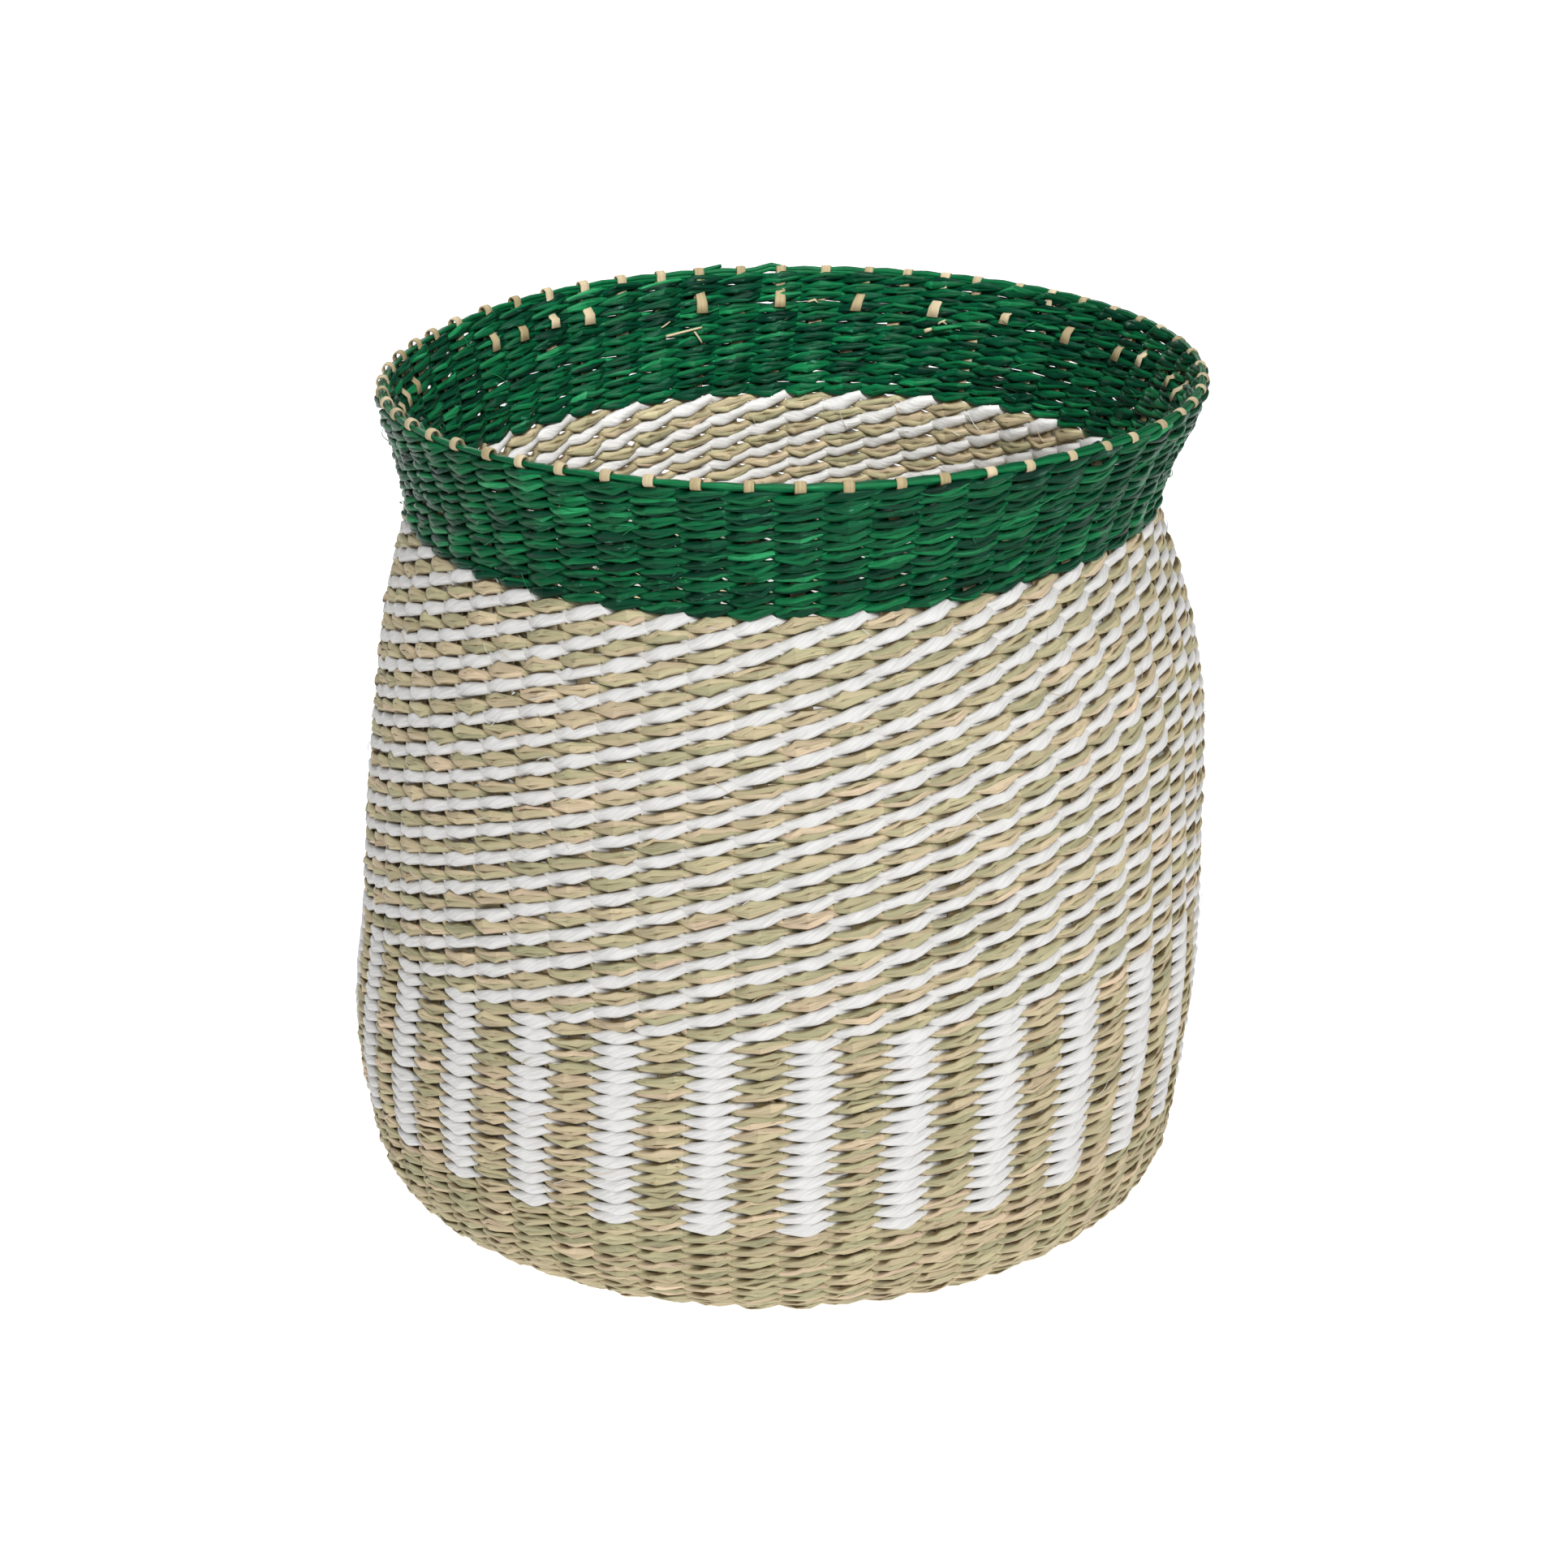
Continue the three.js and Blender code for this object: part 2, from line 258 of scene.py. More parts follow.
def strand(batch, level, pitch, phase, style, count=STAKE_ENDS, wave=None):
    """Adds one strand of a course, a closed ring outside the stakes whose number plus `phase` is even.

    `level` is the course's distance up the wall and `pitch` its height.
    """
    u = np.tile(np.array(style["stations"], float), (count, 1))
    i = np.arange(count)[:, None] + count // 2  # the join is at the back
    side = np.where((i + phase) % 2 == 0, 1.0, -1.0)
    near = 1 - abs(u)

    def each(size, centre=0.0):
        return centre + size * random.standard_normal((count, 1)).clip(-2, 2)

    angle = STEP / 2 + (i + (u + each(style["kink"]) * near) / 2) * 2 * np.pi / count
    blades = style["blades"]
    leaf = blades > 1
    belly = near**0.9 if leaf else np.cos(np.pi * u / 2)
    out = side * np.cos(np.pi * u / 2) * each(style["uneven"] * 2, style["reach"])
    out = out + style["proud"] * abs(u) ** 2
    up = side * pitch * style["rise"] * u + each(0.22) * near
    if wave is not None:
        up = up + wave(angle)
    waist = pitch * style["waist"]
    wide = waist + (pitch * style["peak"] * each(style["uneven"], 1) - waist) * belly
    thick = style["thick"] + (style["thin"] - style["thick"]) * belly
    shares = 1 + SHARE_SPREAD * random.standard_normal((blades, count, 1)).clip(-1.6, 1.6)
    shares /= shares.sum(axis=0)
    places = np.cumsum(shares, axis=0) - shares / 2 - 0.5
    ahead = style["ahead"] * random.standard_normal((blades, count, 1)).clip(-1.5, 1.5)
    across, outward = rounded(style["sides"], style["square"])
    offset = random.uniform(0, 900)
    for blade in range(blades):
        share = shares[blade] if leaf else 1.0
        spread = BLADE_OVERLAP * share * belly + CROSSING_SHARE * (1 - belly)
        size = wide * spread if leaf else wide
        place = wide * places[blade] * (belly + 0.25 * (1 - belly))
        roll = style["twist"] * np.sin(np.pi * u) + belly * (each(style["roll"]) + 0.5 * places[blade])
        a = (size / 2)[..., None] * across
        b = (thick / 2)[..., None] * outward
        along_a, along_b = a + place[..., None], b + (side * ahead[blade] * belly)[..., None]
        cos, sin = np.cos(roll * side)[..., None], np.sin(roll * side)[..., None]
        shift_up = along_a * cos + along_b * sin
        shift_out = along_b * cos - along_a * sin
        rings = count * u.shape[1]
        theta = np.broadcast_to(angle[..., None], shift_up.shape).reshape(rings, -1)
        place_up = (level + up[..., None] + shift_up).reshape(rings, -1)
        place_out = (out[..., None] + shift_out).reshape(rings, -1)
        points = woven(theta, place_up, MIDDLE - place_out)
        length = theta * GRAIN_RADIUS * STAKE_ENDS / count + offset
        grain = np.stack([length, a.reshape(rings, -1) + 9 * blade, b.reshape(rings, -1)], axis=-1)
        facing = (outward * side[..., None] * np.ones_like(a)).reshape(rings, -1)
        station = np.broadcast_to(u[..., None], a.shape).reshape(rings, -1)
        lens = np.stack([station, np.broadcast_to(across, a.shape).reshape(rings, -1), facing], axis=-1)
        tone = np.stack([slow_noise(count, 3), *random.random((3, count))], axis=-1)
        tone[:, 0] = 0.6 * tone[:, 0] + 0.4 * random.random(count)
        tone = np.repeat(tone, u.shape[1], axis=0)
        fold = None
        if leaf:
            creased = random.random((count, 1)) < CREASED
            fold = ((u == 0) & creased).ravel()
        batch.tube(points, grain, lens, tone, fold)


LOOSE_RADIUS = 165  # turns a loose strip's length into an angle
LOOSE_THICKNESS = 0.2  # half of the most that a loose strip is thick


def loose_strip(batch, turn, start, size, slope, width, depth, bend=0.0, lift=0.0, tone=0.8, blunt=0.3):
    """Adds a loose fibre or blade end that lies on the wall, from an angle and a distance up it.

    It bends sideways by `bend` at its tip and stands off by `lift` half way. Its tip is `blunt` of its width.
    """
    share = np.linspace(0, 1, 7)
    across, outward = rounded(4, 1.0)
    angle = turn + size * np.cos(slope) * share / LOOSE_RADIUS
    up = start + size * np.sin(slope) * share + bend * share**2
    away = np.sign(MIDDLE - depth)
    centre = woven(angle, up, depth - away * lift * np.sin(np.pi * share))
    round_axis = np.stack([np.cos(angle), np.sin(angle), 0 * angle], axis=-1)
    beside = np.array([0, 0, 1.0]) * np.cos(slope) - round_axis * np.sin(slope)
    out = np.stack([np.sin(angle), -np.cos(angle), 0 * angle], axis=-1)
    taper = (1 - (1 - blunt) * share**2)[:, None, None]
    wide, thick = width / 2, min(width / 2, LOOSE_THICKNESS)
    side = taper * wide * across[:, None] * beside[:, None]
    points = centre[:, None] + side + taper * thick * outward[:, None] * out[:, None]
    flat = np.zeros(points.shape[:2])
    grain = np.stack([flat + (size * share)[:, None], flat + across * wide, flat + start], axis=-1)
    lens = np.stack([flat, flat, flat + 1], axis=-1)
    batch.tube(points, grain, lens, np.full((len(share), 4), tone), closed=False)


def fibres(batch, number, low, high, length, width, depth=0.1):
    """Adds loose fibres between two distances up the wall."""
    for _ in range(number):
        size = length * random.uniform(0.4, 1.4)
        turn = random.uniform(0, 2 * np.pi)
        start = min(random.uniform(low, high), along_at(WEAVE_TOP) - size)
        slope = random.normal(0.15, 0.5)
        bend = size * random.normal(0, 0.2)
        lift = size * random.uniform(0, 0.12)
        loose_strip(batch, turn, start, size, slope, width, depth, bend, lift, random.uniform(0.6, 1.0))


def ring_wave(size):
    """A gentle unevenness round one course."""
    lobes = np.arange(2, 8)
    heights = random.normal(0, size, len(lobes)) / np.sqrt(lobes)
    shifts = random.uniform(0, 2 * np.pi, len(lobes))

    def wave(angle):
        return sum(h * np.cos(m * angle + s) for m, h, s in zip(lobes, heights, shifts))

    return wave


# --- materials ---


def colour(red, green, blue):
    """Linear colour of an 8-bit screen colour."""
    v = np.array([red, green, blue]) / 255
    return (*np.where(v <= 0.04045, v / 12.92, ((v + 0.055) / 1.055) ** 2.4), 1.0)


def grey(value):
    """A factor for a colour."""
    return (value, value, value, 1)


class Graph:
    """Short way of writing a material's nodes."""

    def __init__(self, name, plain, roughness, **settings):
        self.material = bpy.data.materials.new(name)
        self.material.use_nodes = True
        self.tree = self.material.node_tree
        self.shader = self.tree.nodes["Principled BSDF"]
        self.shader.inputs["Base Color"].default_value = plain
        self.shader.inputs["Roughness"].default_value = roughness
        for key, value in settings.items():
            self.shader.inputs[key.replace("_", " ")].default_value = value
        self.material.diffuse_color = plain

    def node(self, kind, inputs=None, **settings):
        made = self.tree.nodes.new("ShaderNode" + kind)
        for key, value in settings.items():
            setattr(made, key, value)
        for key, value in (inputs or {}).items():
            if isinstance(value, bpy.types.NodeSocket):
                self.tree.links.new(value, made.inputs[key])
            else:
                made.inputs[key].default_value = value
        return made

    def maths(self, operation, a, b=0.0, c=0.0):
        return self.node("Math", {0: a, 1: b, 2: c}, operation=operation).outputs[0]

    def attribute(self, name):
        return self.node("Attribute", attribute_name=name).outputs["Vector"]

    def parts(self, vector):
        return self.node("SeparateXYZ", {0: vector}).outputs

    def noise(self, vector, stretch, detail=2.0):
        scaled = self.node("VectorMath", {0: vector, 1: stretch}, operation="MULTIPLY").outputs[0]
        made = self.node("TexNoise", {"Vector": scaled, "Scale": 1.0, "Detail": detail, "Roughness": 0.55})
        return made.outputs["Fac"]

    def between(self, value, low, high):
        """0 below low, 1 above high."""
        made = self.node("MapRange", {"Value": value, "From Min": low, "From Max": high})
        made.interpolation_type = "SMOOTHSTEP"
        return made.outputs["Result"]

    def mix(self, factor, a, b, blend="MIX"):
        made = self.tree.nodes.new("ShaderNodeMix")
        made.data_type = "RGBA"
        made.blend_type = blend
        for i, value in ((0, factor), (6, a), (7, b)):
            if isinstance(value, bpy.types.NodeSocket):
                self.tree.links.new(value, made.inputs[i])
            else:
                made.inputs[i].default_value = value
        return made.outputs[2]

    def ramp(self, value, stops):
        made = self.node("ValToRGB", {"Fac": value})
        elements = made.color_ramp.elements
        elements[0].position, elements[0].color = stops[0]
        elements[1].position, elements[1].color = stops[-1]
        for position, value in stops[1:-1]:
            elements.new(position).color = value
        return made.outputs["Color"]

    def tint(self, base, value, *stops):
        """The colour multiplied by a ramp."""
        return self.mix(1.0, base, self.ramp(value, stops), "MULTIPLY")

    def shift(self, value, size):
        """How far the value is from 0.5, times the size."""
        return self.maths("MULTIPLY", self.maths("SUBTRACT", value, 0.5), size)

    def stain(self, factor, amount, base, value):
        """The colour, partly replaced by another one."""
        return self.mix(self.maths("MULTIPLY", factor, amount), base, value)

    def finish(self, base, height, distance):
        self.tree.links.new(base, self.shader.inputs["Base Color"])
        bump = self.node("Bump", {"Height": height, "Strength": 1.0, "Distance": distance})
        self.tree.links.new(bump.outputs["Normal"], self.shader.inputs["Normal"])
        return self.material


def fine_lines(g, grain, stretch, width):
    """Thin wandering lines along a leaf: 1 on a line, 0 off it."""
    value = g.noise(grain, stretch, 1.0)
    off = g.maths("ABSOLUTE", g.maths("SUBTRACT", value, 0.5))
    return g.maths("SUBTRACT", 1.0, g.between(off, 0.0, width))


def edge_line_and_shade(g, lens):
    """1 along the long edges of a blade where it lies over a stake, 0 elsewhere: dark edge lines and painted
    shade.
    """
    edge = g.between(g.maths("ABSOLUTE", lens[1]), 0.6, 0.95)
    return g.maths("MULTIPLY", edge, g.between(g.maths("ABSOLUTE", lens[0]), 1.0, 0.3))


def painted_facet_light(g, lens, tone):
    """About 0.5, with a step over the stake where the blade folds, of a size that varies with the tone:
    painted light and shade, one facet of the fold lighter than the other.
    """
    half = g.maths("SUBTRACT", g.maths("GREATER_THAN", lens[0], 0.0), 0.5)
    return g.maths("ADD", g.maths("MULTIPLY", half, g.maths("SUBTRACT", tone, 0.35)), 0.5)


def natural_leaf(name):
    g = Graph(name, colour(190, 177, 140), 0.6, Specular_IOR_Level=0.2)
    grain = g.attribute("grain")
    tone = g.parts(g.attribute("tone"))
    lens = g.parts(g.attribute("lens"))
    streak = g.noise(grain, (0.05, 1.1, 1.1))
    shade = g.maths("ADD", g.maths("MULTIPLY_ADD", tone[0], 0.75, 0.125), g.shift(streak, 0.6))
    base = g.ramp(shade, [
        (0.0, colour(152, 149, 116)), (0.2, colour(172, 168, 134)), (0.42, colour(188, 179, 144)),
        (0.62, colour(198, 182, 150)), (0.8, colour(210, 190, 162)), (1.0, colour(226, 200, 174)),
    ])
    base = g.tint(base, tone[1], (0.0, grey(0.93)), (1.0, grey(1.17)))
    fibre = g.noise(grain, (0.12, 4.0, 4.0), 3.0)
    base = g.tint(base, fibre, (0.3, (0.9, 0.89, 0.87, 1)), (0.7, (1.08, 1.08, 1.07, 1)))
    crease = fine_lines(g, grain, (0.02, 0.8, 0.8), 0.022)
    crease = g.maths("MULTIPLY", crease, g.between(g.noise(grain, (0.07, 0.2, 0.2)), 0.42, 0.6))
    base = g.stain(crease, 0.5, base, colour(96, 80, 42))
    # Dark brown along the blades' edges: the leaf's own edge lines, deepened into painted shade in the gaps
    # between blades and rows.
    base = g.stain(edge_line_and_shade(g, lens), 0.95, base, colour(92, 72, 40))
    # Painted light and shade: the blade's facet on one side of the fold over the stake lighter, the other
    # darker.
    base = g.tint(base, painted_facet_light(g, lens, tone[2]), (0.1, (0.88, 0.88, 0.87, 1)), (0.9, grey(1.12)))
    brown = g.between(g.noise(grain, (0.16, 0.5, 0.5), 4.0), 0.66, 0.74)
    base = g.stain(brown, tone[2], base, colour(150, 105, 62))
    height = g.maths("SUBTRACT", fibre, g.maths("MULTIPLY", crease, 0.9))
    return g.finish(base, height, 0.0002)


def green_leaf(name):
    g = Graph(name, colour(14, 84, 48), 0.27, Specular_IOR_Level=0.1)
    grain = g.attribute("grain")
    tone = g.parts(g.attribute("tone"))
    lens = g.parts(g.attribute("lens"))
    streak = g.noise(grain, (0.05, 1.2, 1.2))
    base = g.ramp(g.maths("ADD", tone[0], g.shift(streak, 0.7)), [
        (0.0, colour(3, 43, 30)), (0.3, colour(5, 63, 41)), (0.6, colour(8, 86, 50)),
        (0.85, colour(18, 110, 63)), (1.0, colour(42, 138, 86)),
    ])
    base = g.tint(base, tone[2], (0.0, (0.66, 0.66, 0.7, 1)), (1.0, grey(1.3)))
    fibre = g.noise(grain, (0.12, 4.0, 4.0), 3.0)
    base = g.tint(base, fibre, (0.3, (0.94, 0.95, 0.94, 1)), (0.7, (1.06, 1.05, 1.05, 1)))
    # Pale bluish scuffs: partly the leaves' own wear, partly a painted sheen standing in for their
    # highlights.
    scuff_and_sheen = g.between(g.noise(grain, (0.22, 0.8, 0.8), 5.0), 0.56, 0.7)
    scuff_and_sheen = g.maths("MULTIPLY", scuff_and_sheen, g.between(tone[1], 0.5, 1.0))
    base = g.stain(scuff_and_sheen, 0.55, base, colour(84, 144, 120))
    crease = fine_lines(g, grain, (0.02, 0.8, 0.8), 0.03)
    base = g.stain(crease, 0.2, base, colour(4, 38, 22))
    # Very dark green along the blades' edges: their own edge lines and painted shade in the gaps between
    # blades and rows.
    base = g.stain(edge_line_and_shade(g, lens), 0.65, base, colour(3, 26, 16))
    # Painted light and shade: one facet of the fold over the stake lighter, the other darker.
    base = g.tint(base, painted_facet_light(g, lens, tone[1]), (0.1, (0.75, 0.75, 0.77, 1)), (0.9, grey(1.25)))
    height = g.maths("SUBTRACT", fibre, g.maths("MULTIPLY", crease, 0.5))
    return g.finish(base, height, 0.00015)


def white_cord(name):
    g = Graph(name, colour(226, 225, 223), 0.9, Specular_IOR_Level=0.1)
    grain = g.attribute("grain")
    lens = g.parts(g.attribute("lens"))
    x, y, z = g.parts(grain)
    twisted = g.node("CombineXYZ", {
        0: g.maths("MULTIPLY_ADD", y, 1.2, x), 1: g.maths("MULTIPLY_ADD", x, -0.35, y), 2: z,
    }).outputs[0]
    ply = g.noise(twisted, (0.1, 0.9, 0.9), 2.0)
    fuzz = g.noise(grain, (1.2, 4.0, 4.0), 4.0)
    crease = fine_lines(g, twisted, (0.06, 0.5, 0.5), 0.05)
    base = g.ramp(ply, [(0.3, colour(212, 211, 209)), (0.6, colour(231, 230, 228))])
    # Painted shade: light grey in the creases of the twisted cord.
    base = g.stain(crease, 0.08, base, colour(190, 190, 190))
    # Painted shade: the white cord greyer towards its long edges, next to the neighbouring rows.
    edge = g.between(g.maths("ABSOLUTE", lens[1]), 0.7, 1.0)
    base = g.stain(edge, 0.5, base, colour(176, 174, 170))
    height = g.maths("ADD", g.maths("MULTIPLY", ply, 1.2), g.maths("MULTIPLY", fuzz, 0.3))
    height = g.maths("SUBTRACT", height, g.maths("MULTIPLY", crease, 0.2))
    return g.finish(base, height, 0.00025)


def stake_leaf(name):
    g = Graph(name, colour(186, 169, 134), 0.6, Specular_IOR_Level=0.3)
    grain = g.attribute("grain")
    tone = g.parts(g.attribute("tone"))
    streak = g.noise(grain, (0.03, 1.4, 1.4))
    base = g.ramp(g.maths("ADD", tone[0], g.shift(streak, 0.6)), [
        (0.0, colour(160, 144, 106)), (0.5, colour(186, 169, 134)), (1.0, colour(206, 189, 156)),
    ])
    line = fine_lines(g, grain, (0.03, 1.6, 1.6), 0.06)
    base = g.stain(line, 0.15, base, colour(120, 98, 58))
    return g.finish(base, g.maths("SUBTRACT", 1.0, line), 0.0001)


NATURAL = natural_leaf("natural_leaf")
GREEN = green_leaf("green_leaf")
WHITE = white_cord("white_cord")
STAKE = stake_leaf("stake_leaf")

# --- the weave ---


def styled(base, **changes):
    return {**base, **changes}


def courses(name, node, material, slot, rows, loose=None):
    """One piece from rows of (level, pitch, phase, style, count, wave).

    `loose` is the (number, length, width) of its loose fibres.
    """
    batch = Batch()
    for row in rows:
        strand(batch, *row)
    if loose:
        number, length, width = loose
        fibres(batch, number, rows[0][0], rows[-1][0], length, width)
        fibres(batch, number // 2, rows[0][0], rows[-1][0], length, width, WALL - 0.1)
    batch.build(name, material, slot, node)


def chunks(rows, size):
    return [rows[i:i + size] for i in range(0, len(rows), size)]


def two_strands(spots, pitch, style, count=STAKE_ENDS):
    """Rows for two strands of one kind in each course."""
    rows = []
    for level in spots:
        wave = ring_wave(0.2)
        rows += [(level, pitch, 0, style, count, wave), (level, pitch, 1, style, count, wave)]
    return rows


def levels(start, end, rows):
    """Middles of evenly spaced courses, and their pitch."""
    pitch = (end - start) / rows
    return start + pitch * (np.arange(rows) + 0.5), pitch


CHUNK = 8  # strands of leaf or cord in one piece
inner_rows = round((SIDE_START - CROSS_EDGE) / BASE_PITCH)
spots, pitch = levels(CROSS_EDGE, SIDE_START, inner_rows)
rows = two_strands(spots, pitch, styled(LEAF, kink=0.1), STAKE_ENDS // 2)
base_edge = OUTER[2][0]
outer_rows = round((base_edge - SIDE_START) / BASE_PITCH)
spots, pitch = levels(SIDE_START, base_edge, outer_rows)
courses("base_courses_inner", "base_weave", NATURAL, "seagrass", rows)
for n, part in enumerate(chunks(two_strands(spots, pitch, LEAF), CHUNK + 1)):
    courses(f"base_courses_outer_{n + 1}", "base_weave", NATURAL, "seagrass", part)

HEEL_LEAF = styled(LEAF, reach=2.4, waist=0.56)
heel_rows = round((along_at(HEEL_TOP) - base_edge) / BASE_PITCH)
spots, pitch = levels(base_edge, along_at(HEEL_TOP), heel_rows)
for n, part in enumerate(chunks(two_strands(spots, pitch, HEEL_LEAF), CHUNK)):
    courses(f"heel_courses_{n + 1}", "heel_weave", NATURAL, "seagrass", part)

spots, pitch = levels(along_at(HEEL_TOP), along_at(STRIPE_TOP), STRIPE_ROWS)
natural_rows, white_rows = [], []
for level in spots:
    wave = ring_wave(0.3)
    white_rows.append((level, pitch, 0, CORD, STAKE_ENDS, wave))
    natural_rows.append((level, pitch, 1, LEAF, STAKE_ENDS, wave))
for n, part in enumerate(chunks(natural_rows, CHUNK)):
    courses(f"stripe_natural_{n + 1}", "stripe_weave", NATURAL, "seagrass", part, (12, 9, 0.4))
for n, part in enumerate(chunks(white_rows, CHUNK)):
    courses(f"stripe_white_{n + 1}", "stripe_weave", WHITE, "white_cord", part, (20, 7, 0.35))

spots, pitch = levels(along_at(STRIPE_TOP), along_at(DIAGONAL_TOP), DIAGONAL_ROWS)
DIAGONAL_LEAF = styled(LEAF, peak=1.07, waist=0.58, rise=0.28, uneven=0.13, proud=0.2)
DIAGONAL_CORD = styled(CORD, peak=1.07, waist=0.7, rise=0.42, reach=2.35, thin=2.9, proud=0.2)
natural_rows, white_rows = [], []
for n, level in enumerate(spots):
    row = n + 1
    wave = ring_wave(0.3)
    white_rows.append((level, pitch, row, DIAGONAL_CORD, STAKE_ENDS, wave))
    natural_rows.append((level, pitch, row + 1, DIAGONAL_LEAF, STAKE_ENDS, wave))
for n, part in enumerate(chunks(natural_rows, CHUNK)):
    courses(f"diagonal_natural_{n + 1}", "diagonal_weave", NATURAL, "seagrass", part, (14, 9, 0.4))
for n, part in enumerate(chunks(white_rows, CHUNK)):
    courses(f"diagonal_white_{n + 1}", "diagonal_weave", WHITE, "white_cord", part, (24, 8, 0.35))

spots, pitch = levels(along_at(DIAGONAL_TOP), along_at(WEAVE_TOP), COLLAR_ROWS)
COLLAR_LEAF = styled(LEAF, peak=1.08, waist=0.6, uneven=0.15, ahead=0.6)
for n, part in enumerate(chunks(two_strands(spots, pitch, COLLAR_LEAF), CHUNK)):
    courses(f"collar_courses_{n + 1}", "collar_weave", GREEN, "green_seagrass", part, (16, 14, 0.5))

# --- rim bundle ---

TOP = along_at(OUTER[-1][1]) + BUNDLE_RISE  # distance up the wall of the bundle's middle
HUMP, HUMP_ANGLE, HUMP_WIDTH = 2.0, np.pi + 0.085, 0.03  # two leaves stand up between two ties at the back
LEFTWARD = np.pi  # slope of a loose strip that runs towards smaller angles


def rim_bundle():
    """Three leaves laid round the rim and held down by the folded stake ends."""
    batch = Batch()
    rings = STAKE_ENDS * 5
    angle = 2 * np.pi * np.arange(rings)[:, None] / rings
    tie = np.cos(STAKE_ENDS * (angle - STEP / 2))  # 1 under a tie, -1 half way between
    across, outward = rounded(8, 0.9)
    for leaf in range(3):
        turn = 2 * np.pi * leaf / 3 + 1.5 * np.sin(angle + leaf) + np.pi / 2
        squeeze = 0.92 - 0.08 * tie
        size = 1.15 * squeeze * (1 + 0.08 * np.sin(9 * angle + 2 * leaf))
        up = TOP + 0.8 * np.sin(turn) * squeeze + size * across + ring_wave(0.12)(angle) - 0.15 * tie
        up = up + HUMP * np.exp(-((angle - HUMP_ANGLE) / HUMP_WIDTH) ** 2) * (leaf > 0)
        out = 0.85 * np.cos(turn) * squeeze + size * 0.95 * outward
        points = woven(angle + 0 * across, up, MIDDLE - out)
        length = angle * GRAIN_RADIUS + 300 * leaf + 0 * across
        grain = np.stack([length, size * across, size * outward], axis=-1)
        lens = np.stack([0 * up, 0 * up + across * 0.8, 0 * up + outward], axis=-1)
        tone = random.random((rings, 4)) * 0.1 + np.array([0.55 + 0.1 * leaf, 0.2, 0.45, 0.5])
        batch.tube(points, grain, lens, tone)
    slope = LEFTWARD - 0.22
    loose_strip(batch, np.pi + 0.295, TOP + 0.5, 12, slope, 2.6, MIDDLE, lift=1, tone=0.7, blunt=0.6)
    loose_strip(batch, np.pi - 0.41, TOP - 25, 15, slope, 2.8, WALL + 2.2, lift=1.5, tone=1.0)
    batch.build("rim_leaves", GREEN, "green_seagrass", "rim_bundle")


rim_bundle()

# --- stakes ---

STAKE_SIDES = 8
STAKE_WIDTH = 4.0, 4.7  # least and most
STAKE_HALF = 0.45  # half its thickness
INSIDE_EXTRA = 1.4  # how much wider a stake is inside the wall, so that the windows in the weave show it
CREST = BUNDLE_RADIUS + 0.4  # radius at which a folded stake end goes round the bundle
FOLD_START = 3.4  # distance below the bundle's middle where a stake end begins to fold
UPRIGHT_POINTS = 60
TUCK_SHOWN = [6.3, 5.6, 5.8, 7.4, 8.7, 8.5]  # depths of a tucked end whose tip comes out on the third course
TUCK_HIDDEN = [6.3, 5.4, 5.2, 5.2, 5.2, 5.2]  # and of one that stays hidden in the weave


def upright(turn):
    """Middle points, side and face directions of a stake end, from the base to its tucked tip."""
    along = np.linspace(SIDE_START, TOP - FOLD_START, UPRIGHT_POINTS)
    depth = np.full(UPRIGHT_POINTS, MIDDLE)
    arc = np.radians(np.linspace(-75, 195, 13))
    over_along = TOP + CREST * np.sin(arc)
    over_depth = MIDDLE - CREST * np.cos(arc)
    tuck = random.uniform(0.9, 1.1)
    down_along = TOP + np.array([-3.0, -5.5, -9.0, -11.5, -13.0 * tuck, -17.0 * tuck])
    down_depth = np.array(TUCK_SHOWN if random.random() < 0.6 else TUCK_HIDDEN)
    along = np.concatenate([along, over_along, down_along])
    depth = np.concatenate([depth, over_depth, down_depth])
    lean = random.normal(0, 0.006)
    angle = turn + lean * np.clip((along - (TOP - 12)) / 12, -1, 1) * (np.arange(len(along)) > 40)
    centre = wall(angle, along, depth)
    ahead = np.gradient(centre, axis=0)
    side = np.stack([np.cos(angle), np.sin(angle), 0 * angle], axis=-1)
    face = np.cross(side, ahead)
    face /= np.linalg.norm(face, axis=1, keepdims=True)
    return centre, side, face


def strip(batch, centre, side, face, width):
    """Adds a flat strip along the given points."""
    across, outward = rounded(STAKE_SIDES, 0.6)
    count = len(centre)
    steps = np.r_[0, np.cumsum(np.linalg.norm(np.diff(centre, axis=0), axis=1))]
    inside = np.clip((TOP - 6 - np.interp(centre[:, 2], LINE_Z, ALONG)) / 10, 0, 1) * (centre[:, 2] > 30)
    wide = (width + INSIDE_EXTRA * inside) * (1 + 0.05 * np.sin(steps / 23 + width))
    reach = (wide / 2)[:, None, None] * side[:, None, :] * across[None, :, None]
    lift = STAKE_HALF * face[:, None, :] * outward[None, :, None]
    points = handmade(centre[:, None, :] + reach + lift)
    shape = points.shape[:2]
    grain = np.stack([
        np.broadcast_to(steps[:, None] + 31 * width, shape),
        (wide / 2)[:, None] * across + random.uniform(0, 90),
        np.broadcast_to(STAKE_HALF * outward, shape),
    ], axis=-1)
    lens = np.zeros((*shape, 3))
    lens[..., 1], lens[..., 2] = across, outward
    tone = np.repeat(random.random((1, 4)), count, axis=0)
    batch.tube(points, grain, lens, tone, closed=False)


